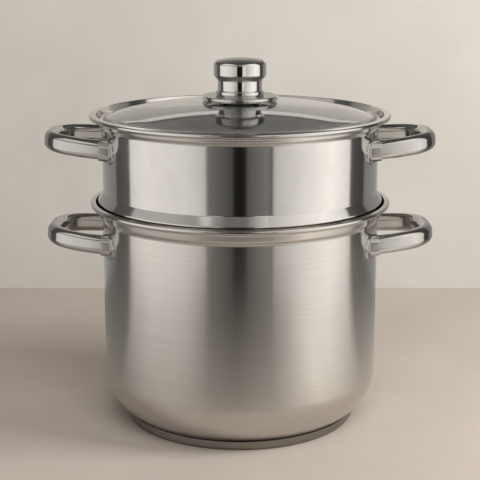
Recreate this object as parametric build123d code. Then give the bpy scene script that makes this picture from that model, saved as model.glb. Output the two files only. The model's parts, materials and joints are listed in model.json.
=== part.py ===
from build123d import *
import math
import os

# A two-tier steamer pot: a stock pot with a capsule base, a steamer that nests in its rim, and a glass lid.
# Millimetres, +Z up, origin on the table under the middle of the base, handles along X, front towards -Y.

# Sheet metal and fits
sheet = 0.7  # wall of the drawn steel vessels
bend_inside = 0.2  # inner radius of a sharp press bend
lift_gap = 0.3  # free space round a piece that lifts out
overrun = 2.0  # how far a cutting shape runs past what it cuts
near = 0.001  # points this close are taken as the same

# Rim shared by both vessels: a narrow ledge, a leaning flare and a thick rolled lip
ledge_width = 2.6
flare_lean = 16.0  # degrees from upright
lip_thickness = 3.0
lip_crown = 0.7  # the lip's top climbs this much towards its inner edge
lip_edge_round = 0.8
lip_round_share = 0.46  # of the lip's thickness, just under a full half round

# Pot body
pot_radius = 121.0
pot_floor = 5.0  # underside of the body, over the base plates
pot_ledge = 183.2
pot_rim_height = 13.0  # from the ledge to the lip's top
pot_lip_overhang = 4.73  # from the flare out to the lip's edge
pot_flare_share = 0.9  # of the room under the lip that the flare's bend takes
pot_corner_radius = 42.0
pot_corner_sink_share = 0.0714  # of the corner's radius: its circle would run this far below the floor
pot_heel_angle = 25.0  # where the corner's circle gives way to the heel
pot_heel_share = 0.19  # of the corner's radius

# Capsule base
cap_gap = 1.16  # from the cap's edge up to the pot's corner bend
cap_sheet = 0.8
cap_lap = 2.7  # the cap's edge stands this far over the pot's floor
cap_round = 2.5
cap_groove = 0.9  # the core stops this far below the cap's edge

# Steamer body
steamer_step = 1.0  # its wall stands this far inside the line of the pot's
steamer_height = 78.7  # from the pot's seat to the steamer's ledge
steamer_rim_height = 9.6
steamer_lip_overhang = 6.11
steamer_flare_share = 0.64
steamer_sink = 23.9  # its floor hangs this far below the pot's seat
steamer_floor_round = 6.0
spigot_gap = 1.6  # between the part that hangs in the pot and the pot's wall
bead_gap = 2.2  # between the bead's edge and the inside of the pot's lip
bead_lift = 1.0  # of the bead's edge over the pot's lip
bead_depth = 7.8  # from the bead's edge up to its crease
bead_round = 2.0
bead_crease_round = 6.0
hole_radius = 2.5
hole_margin = 17.2  # from the middles of the outermost holes to the outside of the spigot
hole_ring_count = 7
first_ring_count = 6

# Loop handles
tube_width = 12.5
tube_height = 16.4
tube_corner_share = 0.432  # of the tube's width
tube_wall = 1.2
handle_stand_off = 42.5  # from the pot's wall to the middle of the tube
handle_foot_spread = 44.0  # middle of the tube to the middle plane, at the wall
handle_arm_radius = 80.0  # of the long gentle curve of each arm
handle_bend_radius = 32.0
handle_straight = 14.0  # the run between a loop's two bends
handle_tilt = 5.0  # degrees, rising outwards
pot_handle_drop = 19.8  # from the pot's ledge down to the middle of the tube, at the wall
steamer_handle_drop = 17.2

# Feet of the handles
foot_plate = 1.4
foot_side_margin = 8.75  # from the tube's side to the plate's end
foot_top_margin = 2.0
foot_drop = 1.3  # the plate's middle lies this far below the tube's
foot_edge_round = 0.8
collar_wall = 1.1
collar_length = 5.6  # past the wall, along the middle of the tube
collar_edge_round = 0.4

# Glass lid
glass = 3.2
glass_rise = 15.3
ring_sheet = 0.5
ring_cover = 3.4  # how far the ring laps over the glass
ring_round = 0.5
glass_flat_margin = 0.5  # the glass is flat a little further in than the ring laps

# Knob on top of the glass
knob_flange_reach = 13.5  # past the neck
knob_flange_height = 3.6
knob_flange_sheet = 1.0
knob_flange_round = 1.4
knob_flange_lift = 0.6  # underside of its edge, over the crown of the glass
knob_sheet = 1.2
knob_foot_inset = 0.8  # in from the neck
knob_foot_height = 0.9
knob_collar_reach = 1.6
knob_collar_height = 3.6
knob_collar_round = 0.9
knob_neck_radius = 19.4
knob_neck_height = 8.3
knob_land = 0.5
knob_cap_reach = 3.6
knob_cap_slope = 4.2
knob_cap_height = 11.8
knob_cap_fall = 2.6  # the top falls this much to its edge
knob_cap_round = 4.0
knob_slope_round = 1.0
knob_neck_round = 0.5
knob_crown_share = 0.5  # of the cap's radius, where the top starts to fall
knob_crown_bend_share = 0.6  # of the level part of the top that bends

# What holds the knob through the glass
screw_radius = 2.5
screw_clearance = 0.2
screw_head_radius = 4.6
screw_head_height = 3.0
screw_head_round = 1.2
screw_recess_width = 1.2
screw_recess_length = 5.2
screw_recess_depth = 1.8
screw_length = 27.0
insert_radius = 6.5
insert_height = 11.0
gasket_radius = 12.0
gasket_sleeve = 1.8  # wall of the sleeve that lines the hole in the glass
lower_gasket = 1.0
cup_radius = 20.0
cup_sheet = 0.8
cup_height = 10.2
cup_round = 2.0
cup_lip = 0.9
cup_lip_height = 1.6
washer_radius = 6.5
washer_thickness = 1.0
spring_washer_radius = 4.4
spring_washer_thickness = 1.2
spring_washer_slot = 1.0

# Sizes that follow from the ones above
lean_rise = math.tan(math.radians(flare_lean))
lean_sheet = sheet / math.cos(math.radians(flare_lean))
bend_outside = bend_inside + sheet
lip_round = lip_thickness * lip_round_share
pot_seat = pot_ledge + sheet
pot_lip_top = pot_ledge + pot_rim_height
steamer_radius = pot_radius - steamer_step
steamer_ledge = pot_seat + steamer_height
steamer_lip_top = steamer_ledge + steamer_rim_height
steamer_seat = steamer_ledge + sheet
steamer_floor = pot_seat - steamer_sink


def flare_inside(wall, rise):
    """Inner radius of the flare, this far above the ledge, for a vessel with this wall."""
    return wall + ledge_width - lean_sheet + lean_rise * rise


corner_middle_radius = pot_radius - pot_corner_radius
corner_middle_height = pot_floor + pot_corner_radius * (1 - pot_corner_sink_share)
cap_top = pot_floor + cap_lap
cap_fall = corner_middle_height - cap_top - cap_gap
cap_radius = corner_middle_radius + math.sqrt(pot_corner_radius**2 - cap_fall**2)
shoulder_radius = flare_inside(pot_radius, sheet) - lift_gap
spigot_radius = pot_radius - sheet - spigot_gap
bead_radius = flare_inside(pot_radius, pot_rim_height) - bead_gap
bead_height = pot_lip_top + bead_lift
bead_crease_height = bead_height + bead_depth
hole_pitch = (spigot_radius - hole_margin) / hole_ring_count
tube_corner = tube_width * tube_corner_share
handle_reach = pot_radius + handle_stand_off
pot_handle_height = pot_ledge - pot_handle_drop
steamer_handle_height = steamer_ledge - steamer_handle_drop
foot_width = tube_width + 2 * foot_side_margin
foot_height = tube_height + 2 * foot_top_margin
glass_hole = screw_radius + screw_clearance + gasket_sleeve
ring_radius = flare_inside(steamer_radius, sheet) - lift_gap
glass_radius = ring_radius - ring_sheet
glass_bottom = steamer_seat + ring_sheet
glass_top = glass_bottom + glass
glass_flat = ring_radius - ring_cover - glass_flat_margin
glass_sphere = (glass_flat**2 + glass_rise**2) / (2 * glass_rise)
glass_crown = glass_top + glass_rise
knob_flange_radius = knob_neck_radius + knob_flange_reach
knob_foot_radius = knob_neck_radius - knob_foot_inset
knob_collar_radius = knob_neck_radius + knob_collar_reach
knob_cap_radius = knob_neck_radius + knob_cap_reach
knob_flange_bottom = glass_crown + knob_flange_lift
knob_flange_top = knob_flange_bottom + knob_flange_height
knob_collar_bottom = knob_flange_top + knob_foot_height
knob_neck_bottom = knob_collar_bottom + knob_collar_height
knob_neck_top = knob_neck_bottom + knob_neck_height
knob_cap_edge = knob_neck_top + knob_land + knob_cap_slope
knob_top = knob_cap_edge + knob_cap_height + knob_cap_fall
cup_top = glass_crown - glass - lower_gasket
washer_top = cup_top - cup_sheet
spring_washer_top = washer_top - washer_thickness
screw_head_top = spring_washer_top - spring_washer_thickness


def inner_line(path, radii, depth):
    """The left-hand face of a sheet: the run of corners set over by its depth, and the bends' radii there."""
    points = [Vector(*point) for point in path]
    ways = [(after - before).normalized() for before, after in zip(points, points[1:])]
    sides = [Vector(-way.Y, way.X) for way in ways]
    corners = [points[0] + sides[0] * depth]
    rounds = []
    for point, way_in, way_out, side_in, side_out, radius in zip(
        points[1:], ways, ways[1:], sides, sides[1:], radii
    ):
        corners.append(point + (side_in + side_out) * (depth / (1 + way_in.dot(way_out))))
        turns_left = way_in.cross(way_out).Z > 0
        rounds.append(max(radius - depth, 0) if turns_left else radius + depth)
    corners.append(points[-1] + sides[-1] * depth)
    return [(corner.X, corner.Y) for corner in corners], rounds


def turned(corners, radii):
    """A solid turned about the upright axis from a closed outline of radius and height."""
    outline = FilletPolyline(*corners, radius=radii, close=True)
    return revolve(Plane.XZ * make_face(outline), axis=Axis.Z)


def turned_sheet(path, radii, depth):
    """A turned shell of even thickness, from the run of its outer face."""
    inner, inner_radii = inner_line(path, radii, depth)
    return turned(path + inner[::-1], [0, *radii, 0, 0, *inner_radii[::-1], 0])


def turned_ring(inside, outside, bottom, top):
    return turned([(inside, bottom), (outside, bottom), (outside, top), (inside, top)], [0, 0, 0, 0])


def rim_outline(wall, ledge, rim_height, overhang, flare_share):
    """Corners and radii of a rim, from the outside of the wall over the lip to the inside of the wall."""
    riser = wall + ledge_width
    top = ledge + rim_height
    under = top - lip_crown - lip_thickness
    flare_top = riser + lean_rise * (under - ledge)
    lip = flare_top + overhang
    half_turn = math.radians(90 - flare_lean) / 2
    flare_radius = (overhang - lip_round) * flare_share / math.tan(half_turn)
    corners = [
        (wall, ledge),
        (riser, ledge),
        (flare_top, under),
        (lip, under),
        (lip, under + lip_thickness),
        (flare_inside(wall, rim_height), top),
        (flare_inside(wall, sheet), ledge + sheet),
        (wall - sheet, ledge + sheet),
    ]
    radii = [bend_inside, bend_outside, flare_radius, lip_round, lip_round, lip_edge_round]
    return corners, radii + [bend_inside, bend_outside]


def pot_outer_run():
    """The pot's outer face from the axis to the corner: flat floor, heel, and large corner bend."""
    heel = math.radians(pot_heel_angle)
    tangent_height = corner_middle_height - pot_corner_radius * math.cos(heel)
    tangent_radius = corner_middle_radius + pot_corner_radius * math.sin(heel)
    corner_height = tangent_height + (pot_radius - tangent_radius) * math.tan(heel)
    heel_radius = tangent_radius - (tangent_height - pot_floor) / math.tan(heel)
    path = [(0, pot_floor), (heel_radius, pot_floor), (pot_radius, corner_height)]
    return path, [pot_corner_radius * pot_heel_share, pot_corner_radius]


def pot_body():
    path, radii = pot_outer_run()
    rim, rim_radii = rim_outline(
        pot_radius, pot_ledge, pot_rim_height, pot_lip_overhang, pot_flare_share
    )
    inner, inner_radii = inner_line(path + rim[:1], radii, sheet)
    corners = path + rim + inner[-2::-1]
    return turned(corners, [0, *radii, *rim_radii, *inner_radii[::-1], 0])


def base_cap():
    """The steel cup pressed round the bottom; the pot stands on it."""
    return turned_sheet([(0, 0), (cap_radius, 0), (cap_radius, cap_top)], [cap_round], cap_sheet)


def base_core():
    """The aluminium heat plate: it fills the cap up to the body and leaves a groove at the cap's edge."""
    edge = cap_radius - cap_sheet
    top = cap_top - cap_groove
    plate = turned(
        [(0, cap_sheet), (edge, cap_sheet), (edge, top), (0, top)],
        [0, cap_round - cap_sheet, 0, 0],
    )
    path, radii = pot_outer_run()
    pot_shape = turned(path + [(pot_radius, pot_ledge), (0, pot_ledge)], [0, *radii, 0, 0])
    return plate - pot_shape


def steamer_body():
    path = [
        (0, steamer_floor),
        (spigot_radius, steamer_floor),
        (spigot_radius, pot_seat),
        (shoulder_radius, pot_seat),
        (bead_radius, bead_height),
        (steamer_radius, bead_crease_height),
    ]
    radii = [steamer_floor_round, bend_inside, bend_outside, bead_round, bead_crease_round]
    rim, rim_radii = rim_outline(
        steamer_radius, steamer_ledge, steamer_rim_height, steamer_lip_overhang, steamer_flare_share
    )
    inner, inner_radii = inner_line(path + rim[:1], radii, sheet)
    corners = path + rim + inner[-2::-1]
    body = turned(corners, [0, *radii, *rim_radii, *inner_radii[::-1], 0])
    return body - steam_holes()


def steam_holes():
    """Cutters for the floor's holes: one in the middle, then rings that each hold one more set."""
    cutter = Cylinder(hole_radius, sheet + 2 * overrun)
    middle = Pos(0, 0, steamer_floor + sheet / 2)
    cutters = [middle * cutter]
    for ring in range(1, hole_ring_count + 1):
        count = first_ring_count * ring
        for index in range(count):
            turn = Rot(0, 0, 360 * index / count)
            cutters.append(middle * turn * Pos(hole_pitch * ring, 0, 0) * cutter)
    return cutters


def handle_plane(height):
    """The tilted plane of a right-hand loop, from the axis outwards and up."""
    tilt = math.radians(handle_tilt)
    foot_distance = math.sqrt(pot_radius**2 - handle_foot_spread**2)
    origin = (0, 0, height - foot_distance * math.tan(tilt))
    outwards = (math.cos(tilt), 0, math.sin(tilt))
    return Plane(origin=origin, x_dir=outwards, z_dir=(-math.sin(tilt), 0, math.cos(tilt)))


def loop_middles():
    """In the loop's plane: the front arm's foot, its way there, and the middles of its curve and of the bend."""
    foot = Vector(math.sqrt(pot_radius**2 - handle_foot_spread**2), -handle_foot_spread)
    bend = Vector(handle_reach - handle_bend_radius, -handle_straight / 2)
    span = bend - foot
    reach = math.hypot(handle_arm_radius, collar_length)
    rest = handle_arm_radius - handle_bend_radius
    opening = math.acos((reach**2 + span.length**2 - rest**2) / (2 * reach * span.length))
    turn = math.atan2(span.Y, span.X) + opening
    arm = foot + Vector(math.cos(turn), math.sin(turn)) * reach
    angle = turn - math.atan2(handle_arm_radius, collar_length)
    return foot, Vector(math.cos(angle), math.sin(angle)), arm, bend


def arm_way():
    """Where the front arm meets the wall, in the loop's plane, and the way it leaves."""
    return loop_middles()[:2]


def arc_about(middle, radius, start, stop):
    """An arc between two directions, given as angles."""
    angles = (start, (start + stop) / 2, stop)
    points = [middle + Vector(math.cos(angle), math.sin(angle)) * radius for angle in angles]
    return ThreePointArc(*points)


def loop_path():
    """Half of the tube's middle line, from inside the wall to the tip, then its mirror image."""
    foot, way, arm, bend = loop_middles()
    start = foot - way * (tube_width + overrun)
    leave = foot + way * collar_length
    first = math.atan2(leave.Y - arm.Y, leave.X - arm.X)
    turn = math.atan2(bend.Y - arm.Y, bend.X - arm.X)
    half = [
        Line(start, leave),
        arc_about(arm, handle_arm_radius, first, turn),
        arc_about(bend, handle_bend_radius, turn, 0),
    ]
    tip = handle_straight / 2
    straight = Line((handle_reach, -tip), (handle_reach, tip))
    rear = [mirror(run, Plane.XZ) for run in reversed(half)]
    return Wire([run.edge() for run in (*half, straight, *rear)])


def tube_section(allowance):
    """The tube's rounded section, grown all round by the allowance."""
    return RectangleRounded(
        tube_width + 2 * allowance, tube_height + 2 * allowance, tube_corner + allowance
    )


def arm_plane(height, along):
    """A plane square to the front arm, this far along from the wall; X lies in the loop's plane."""
    foot, way = arm_way()
    plane = handle_plane(height)
    origin = plane.from_local_coords(foot + way * along)
    ahead = plane.from_local_coords(foot + way) - plane.from_local_coords(foot)
    return Plane(origin=origin, x_dir=ahead.cross(plane.z_dir), z_dir=ahead)


def handle(wall, height):
    """A right-hand loop of tube whose ends butt on the plates of its feet."""
    path = handle_plane(height) * loop_path()
    plane = arm_plane(height, -(tube_width + overrun))
    tube = sweep(plane * tube_section(0), path=path) - sweep(plane * tube_section(-tube_wall), path=path)
    return tube - upright(wall + foot_plate)


def upright(radius):
    """A tall cylinder about the vessel's axis."""
    return Pos(0, 0, steamer_lip_top / 2) * Cylinder(radius, steamer_lip_top)


def front_foot(wall, height):
    """The pressed foot of a right-hand loop's front arm: a plate that follows the wall, and a collar."""
    outline = Plane.YZ * Pos(-handle_foot_spread, height - foot_drop) * SlotOverall(foot_width, foot_height)
    plate = extrude(outline, amount=handle_reach) & (upright(wall + foot_plate) - upright(wall))
    edges = [edge for edge in plate.edges() if lies_on_radius(edge, wall + foot_plate)]
    plate = fillet(edges, foot_edge_round)
    length = collar_length + tube_width + overrun
    start = arm_plane(height, collar_length - length)
    collar = extrude(start * tube_section(collar_wall), amount=length)
    end = collar.faces().sort_by(Axis(start.origin, start.z_dir))[-1]
    collar = fillet(end.edges(), collar_edge_round)
    bore = extrude(start * tube_section(0), amount=length + overrun) - upright(wall + foot_plate)
    return plate + (collar - upright(wall)) - bore


def lies_on_radius(edge, radius):
    return all(abs(math.hypot(point.X, point.Y) - radius) < near for point in edge.vertices())


def dome_height(radius):
    """Height of the glass's upper face at this distance from the axis."""
    return glass_crown - glass_sphere + math.sqrt(glass_sphere**2 - radius**2)


def dome_arc(inside, outside, drop):
    """The dome's curve between two distances from the axis, lowered by the drop."""
    middle = (inside + outside) / 2
    points = [(radius, dome_height(radius) - drop) for radius in (inside, middle, outside)]
    return ThreePointArc(*points)


def lid_glass():
    """A domed glass with a flat edge and a hole for the knob's screw."""
    upper = dome_arc(glass_hole, glass_flat, 0)
    lower = dome_arc(glass_hole, glass_flat, glass)
    edge = Polyline(
        (glass_flat, glass_bottom),
        (glass_radius, glass_bottom),
        (glass_radius, glass_top),
        (glass_flat, glass_top),
    )
    bore = Line(lower @ 0, upper @ 0)
    return revolve(Plane.XZ * make_face([lower, *edge.edges(), upper, bore]), axis=Axis.Z)


def lid_ring():
    """The steel ring folded round the glass's edge; the lid rests on its underside."""
    lap = ring_radius - ring_cover
    top = glass_top + ring_sheet
    path = [(lap, steamer_seat), (ring_radius, steamer_seat), (ring_radius, top), (lap, top)]
    return turned_sheet(path, [ring_round, ring_round], ring_sheet)


def knob_flange():
    """The saucer under the knob, with its edge turned down."""
    bore = screw_radius + screw_clearance
    path = [
        (knob_flange_radius, knob_flange_bottom),
        (knob_flange_radius, knob_flange_top),
        (bore, knob_flange_top),
    ]
    return turned_sheet(path, [knob_flange_round], knob_flange_sheet)


def knob_neck():
    """The hollow neck with its collar; its floor takes the threaded insert."""
    bore = screw_radius + screw_clearance
    inside = knob_neck_radius - knob_sheet
    floor = knob_collar_bottom + knob_sheet
    corners = [
        (bore, knob_flange_top),
        (knob_foot_radius, knob_flange_top),
        (knob_foot_radius, knob_collar_bottom),
        (knob_collar_radius, knob_collar_bottom),
        (knob_collar_radius, knob_neck_bottom),
        (knob_neck_radius, knob_neck_bottom),
        (knob_neck_radius, knob_neck_top),
        (inside, knob_neck_top),
        (inside, floor),
        (bore, floor),
    ]
    radii = [0, 0, 0, knob_collar_round, knob_collar_round, knob_neck_round, 0, 0, 0, 0]
    return turned(corners, radii)


def knob_cap():
    """The grip: it flares out from the neck and ends in a low crown."""
    land_top = knob_neck_top + knob_land
    edge_top = knob_top - knob_cap_fall
    level = knob_cap_radius * knob_crown_share
    half_turn = math.atan2(knob_cap_fall, knob_cap_radius - level) / 2
    crown_radius = level * knob_crown_bend_share / math.tan(half_turn)
    path = [
        (knob_neck_radius, knob_neck_top),
        (knob_neck_radius, land_top),
        (knob_cap_radius, knob_cap_edge),
        (knob_cap_radius, edge_top),
        (level, knob_top),
        (0, knob_top),
    ]
    radii = [knob_neck_round, knob_slope_round + knob_sheet, knob_cap_round, crown_radius]
    return turned_sheet(path, radii, knob_sheet)


def knob_insert():
    """The hexagonal threaded bush inside the neck."""
    floor = knob_collar_bottom + knob_sheet
    bush = extrude(RegularPolygon(insert_radius, 6), amount=insert_height)
    bore = Cylinder(screw_radius + screw_clearance, 2 * insert_height + overrun)
    return Pos(0, 0, floor) * (bush - bore)


def upper_gasket():
    """Silicone between the glass and the saucer, with a sleeve that lines the hole in the glass."""
    bore = screw_radius + screw_clearance
    top = knob_flange_top - knob_flange_sheet
    block = turned_ring(bore, gasket_radius, glass_crown - glass / 2, top)
    sleeve = turned_ring(bore, glass_hole, dome_height(glass_hole) - glass, top)
    return block - lid_glass() + sleeve


def lower_gasket_washer():
    """Silicone between the glass and the cup under it."""
    bore = screw_radius + screw_clearance
    block = turned_ring(bore, gasket_radius, cup_top, glass_crown - glass / 2)
    sleeve_bottom = dome_height(glass_hole) - glass
    return block - lid_glass() - turned_ring(0, glass_hole, sleeve_bottom, glass_crown)


def retaining_cup():
    """The steel cup under the glass, open downwards, with a flared lip."""
    bore = screw_radius + screw_clearance
    bottom = cup_top - cup_height
    path = [
        (cup_radius + cup_lip, bottom),
        (cup_radius, bottom + cup_lip_height),
        (cup_radius, cup_top),
        (bore, cup_top),
    ]
    return turned_sheet(path, [cup_round, cup_round], cup_sheet)


def flat_washer():
    return turned_ring(screw_radius + screw_clearance, washer_radius, spring_washer_top, washer_top)


def spring_washer():
    """A washer with one slot."""
    bore = screw_radius + screw_clearance
    ring = turned_ring(bore, spring_washer_radius, screw_head_top, spring_washer_top)
    reach = spring_washer_radius + overrun
    slot = Box(reach, spring_washer_slot, spring_washer_thickness + overrun)
    return ring - Pos(reach / 2, 0, screw_head_top + spring_washer_thickness / 2) * slot


def knob_screw():
    """A pan-head screw, driven from below, with a cross recess."""
    bottom = screw_head_top - screw_head_height
    corners = [
        (0, bottom),
        (screw_head_radius, bottom),
        (screw_head_radius, screw_head_top),
        (screw_radius, screw_head_top),
        (screw_radius, screw_head_top + screw_length),
        (0, screw_head_top + screw_length),
    ]
    screw = turned(corners, [0, screw_head_round, 0, 0, 0, 0])
    blade = Pos(0, 0, bottom) * Box(screw_recess_length, screw_recess_width, 2 * screw_recess_depth)
    return screw - blade - Rot(0, 0, 90) * blade


def handle_set(vessel, wall, height):
    """Both loops of a vessel and their four feet, by name."""
    loop = handle(wall, height)
    foot = front_foot(wall, height)
    pieces = {}
    for side, mirrored in (("right", False), ("left", True)):
        sided_loop = mirror(loop, Plane.YZ) if mirrored else loop
        sided_foot = mirror(foot, Plane.YZ) if mirrored else foot
        pieces[f"{vessel}_handle_{side}"] = sided_loop
        pieces[f"{vessel}_foot_{side}_front"] = sided_foot
        pieces[f"{vessel}_foot_{side}_rear"] = mirror(sided_foot, Plane.XZ)
    return pieces


def all_pieces():
    pieces = {
        "pot_body": pot_body(),
        "base_cap": base_cap(),
        "base_core": base_core(),
        "steamer_body": steamer_body(),
        "lid_glass": lid_glass(),
        "lid_ring": lid_ring(),
        "knob_flange": knob_flange(),
        "knob_neck": knob_neck(),
        "knob_cap": knob_cap(),
        "knob_insert": knob_insert(),
        "knob_gasket_upper": upper_gasket(),
        "knob_gasket_lower": lower_gasket_washer(),
        "knob_retaining_cup": retaining_cup(),
        "knob_flat_washer": flat_washer(),
        "knob_spring_washer": spring_washer(),
        "knob_screw": knob_screw(),
    }
    pieces.update(handle_set("pot", pot_radius, pot_handle_height))
    pieces.update(handle_set("steamer", steamer_radius, steamer_handle_height))
    return pieces


os.makedirs("parts", exist_ok=True)
for name, piece in all_pieces().items():
    export_step(piece, f"parts/{name}.step")
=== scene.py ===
import json
import math
import bpy
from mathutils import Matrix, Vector


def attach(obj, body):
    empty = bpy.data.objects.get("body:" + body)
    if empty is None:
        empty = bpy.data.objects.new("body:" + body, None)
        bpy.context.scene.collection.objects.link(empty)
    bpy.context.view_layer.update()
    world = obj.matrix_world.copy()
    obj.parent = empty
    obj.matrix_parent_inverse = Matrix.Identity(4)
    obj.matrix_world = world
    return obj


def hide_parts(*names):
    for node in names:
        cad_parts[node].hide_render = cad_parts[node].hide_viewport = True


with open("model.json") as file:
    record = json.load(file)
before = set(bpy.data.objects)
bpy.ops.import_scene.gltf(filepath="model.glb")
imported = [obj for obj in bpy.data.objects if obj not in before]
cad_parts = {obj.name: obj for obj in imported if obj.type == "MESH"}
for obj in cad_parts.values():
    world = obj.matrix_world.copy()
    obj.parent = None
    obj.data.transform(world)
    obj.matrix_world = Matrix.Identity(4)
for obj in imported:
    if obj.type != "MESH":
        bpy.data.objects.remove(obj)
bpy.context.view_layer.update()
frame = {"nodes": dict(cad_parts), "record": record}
nodes = frame["nodes"]
scene = bpy.context.scene


# Camera: stands in front of the pot and looks down on it

camera = {"distance": 1.0924, "height": 0.4194, "lookDown": 13.48, "lens": 94.76, "sensor": 36}

cameraData = bpy.data.cameras.new("camera")
cameraData.lens = camera["lens"]
cameraData.sensor_width = camera["sensor"]
cameraObject = bpy.data.objects.new("camera", cameraData)
cameraObject.location = (0, -camera["distance"], camera["height"])
cameraObject.rotation_euler = (math.radians(90 - camera["lookDown"]), 0, 0)
scene.collection.objects.link(cameraObject)
scene.camera = cameraObject
scene.view_settings.view_transform = "Standard"
print("camera placed")


# Helpers for node trees

def addNode(tree, kind, x, y, **settings):
    node = tree.nodes.new(kind)
    node.location = (x, y)
    for key, value in settings.items():
        setattr(node, key, value)
    return node


def setInputs(node, **values):
    for key, value in values.items():
        node.inputs[key].default_value = value
    return node


def mathNode(tree, x, y, operation, first, second=None):
    node = addNode(tree, "ShaderNodeMath", x, y, operation=operation)
    for socket, value in zip(node.inputs, (first, second)):
        if isinstance(value, (int, float)):
            socket.default_value = value
        elif value is not None:
            tree.links.new(value, socket)
    return node.outputs[0]


def rangeNode(tree, x, y, value, low, high):  # turns 0..1 into low..high
    node = addNode(tree, "ShaderNodeMapRange", x, y)
    tree.links.new(value, node.inputs["Value"])
    node.inputs["To Min"].default_value = low
    node.inputs["To Max"].default_value = high
    return node.outputs["Result"]


def rampNode(tree, x, y, value, stops):
    node = addNode(tree, "ShaderNodeValToRGB", x, y)
    tree.links.new(value, node.inputs["Fac"])
    ramp = node.color_ramp
    while len(ramp.elements) < len(stops):
        ramp.elements.new(0.5)
    for element, (place, color) in zip(ramp.elements, stops):
        element.position = place
        element.color = (*color, 1)
    return node.outputs["Color"]


def toneNode(tree, x, y, value, dark, light):  # dark to light over the middle of a noise's range
    return rampNode(tree, x, y, value, [(0.3, dark), (0.7, light)])


def newGroup(name, inputs, outputs):
    tree = bpy.data.node_groups.new(name, "ShaderNodeTree")
    for label, value in inputs.items():
        socket = tree.interface.new_socket(name=label, in_out="INPUT", socket_type="NodeSocketFloat")
        socket.default_value = value
    for label in outputs:
        tree.interface.new_socket(name=label, in_out="OUTPUT", socket_type="NodeSocketFloat")
    return tree, addNode(tree, "NodeGroupInput", -1200, 0), addNode(tree, "NodeGroupOutput", 600, 0)


def placeGroup(tree, group, x, y, **values):
    node = addNode(tree, "ShaderNodeGroup", x, y, node_tree=group)
    return setInputs(node, **values)


# Shared effect: fine lines left by polishing on a spindle, which run round the axis

# slant: how much the radius counts beside the height, so that flat faces have lines too
spindle = {"slant": 0.73, "smallest": 0.001, "detail": 3, "roughness": 0.6}


def buildTurnedLines():
    tree, given, out = newGroup("turnedLines", {"Density": 900, "Wander": 2}, ["Line"])
    place = addNode(tree, "ShaderNodeTexCoord", -1200, -200)
    split = addNode(tree, "ShaderNodeSeparateXYZ", -1000, -200)
    tree.links.new(place.outputs["Object"], split.inputs[0])
    x, y, z = split.outputs
    across = mathNode(tree, -820, -60, "MULTIPLY", x, x)
    along = mathNode(tree, -820, -220, "MULTIPLY", y, y)
    squared = mathNode(tree, -660, -100, "ADD", across, along)
    radius = mathNode(tree, -500, -100, "SQRT", squared)
    safe = mathNode(tree, -340, -100, "MAXIMUM", radius, spindle["smallest"])
    shareX = mathNode(tree, -180, 60, "DIVIDE", x, safe)
    shareY = mathNode(tree, -180, -260, "DIVIDE", y, safe)
    roundX = mathNode(tree, -20, 60, "MULTIPLY", shareX, given.outputs["Wander"])
    roundY = mathNode(tree, -20, -260, "MULTIPLY", shareY, given.outputs["Wander"])
    outward = mathNode(tree, -340, -420, "MULTIPLY", radius, spindle["slant"])
    profile = mathNode(tree, -180, -420, "ADD", z, outward)
    level = mathNode(tree, -20, -420, "MULTIPLY", profile, given.outputs["Density"])
    spot = addNode(tree, "ShaderNodeCombineXYZ", 160, -100)
    for value, socket in zip((roundX, roundY, level), spot.inputs):
        tree.links.new(value, socket)
    noise = addNode(tree, "ShaderNodeTexNoise", 340, -100)
    setInputs(noise, Scale=1, Detail=spindle["detail"], Roughness=spindle["roughness"])
    tree.links.new(spot.outputs[0], noise.inputs["Vector"])
    tree.links.new(noise.outputs["Fac"], out.inputs["Line"])
    return tree


# Shared effect: faint wiping marks and stray hairline scratches

wiping = {"detail": 5, "roughness": 0.65, "distortion": 0.6}
hairline = {"turns": ((0.4, 0.9, 0.3), (1.2, 0.2, 2.1)), "stretch": (900, 14, 14), "from": 0.7, "full": 0.78}


def buildHandlingMarks():
    tree, given, out = newGroup("handlingMarks", {"Size": 25, "Scratches": 1}, ["Smudge", "Scratch"])
    place = addNode(tree, "ShaderNodeTexCoord", -1200, -300)
    smudge = addNode(tree, "ShaderNodeTexNoise", -400, 200)
    setInputs(smudge, Detail=wiping["detail"], Roughness=wiping["roughness"], Distortion=wiping["distortion"])
    tree.links.new(place.outputs["Object"], smudge.inputs["Vector"])
    tree.links.new(given.outputs["Size"], smudge.inputs["Scale"])
    tree.links.new(smudge.outputs["Fac"], out.inputs["Smudge"])
    hairs = []
    for index, turn in enumerate(hairline["turns"]):
        y = -200 - 300 * index
        mapping = addNode(tree, "ShaderNodeMapping", -900, y)
        setInputs(mapping, Rotation=turn, Scale=hairline["stretch"])
        tree.links.new(place.outputs["Object"], mapping.inputs["Vector"])
        hair = addNode(tree, "ShaderNodeTexNoise", -700, y)
        setInputs(hair, Scale=1, Detail=1)
        tree.links.new(mapping.outputs[0], hair.inputs["Vector"])
        thin = addNode(tree, "ShaderNodeMapRange", -500, y)
        thin.inputs["From Min"].default_value = hairline["from"]
        thin.inputs["From Max"].default_value = hairline["full"]
        tree.links.new(hair.outputs["Fac"], thin.inputs["Value"])
        hairs.append(thin.outputs[0])
    both = mathNode(tree, -200, -300, "MAXIMUM", *hairs)
    scratch = mathNode(tree, 0, -300, "MULTIPLY", both, given.outputs["Scratches"])
    tree.links.new(scratch, out.inputs["Scratch"])
    return tree


turnedLines = buildTurnedLines()
handlingMarks = buildHandlingMarks()
print("shared effects built")


# Materials

def newMaterial(name):
    material = bpy.data.materials.new(name)
    material.use_nodes = True
    tree = material.node_tree
    shader = tree.nodes["Principled BSDF"]
    shader.location = (400, 0)
    tree.nodes["Material Output"].location = (700, 0)
    return material, tree, shader


def mixShaders(tree, share, first, second):  # from the first to the second as the share grows
    mix = addNode(tree, "ShaderNodeMixShader", 700, 200)
    for value, socket in zip((share, first.outputs[0], second.outputs[0]), mix.inputs):
        tree.links.new(value, socket)
    tree.links.new(mix.outputs[0], tree.nodes["Material Output"].inputs["Surface"])


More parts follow.
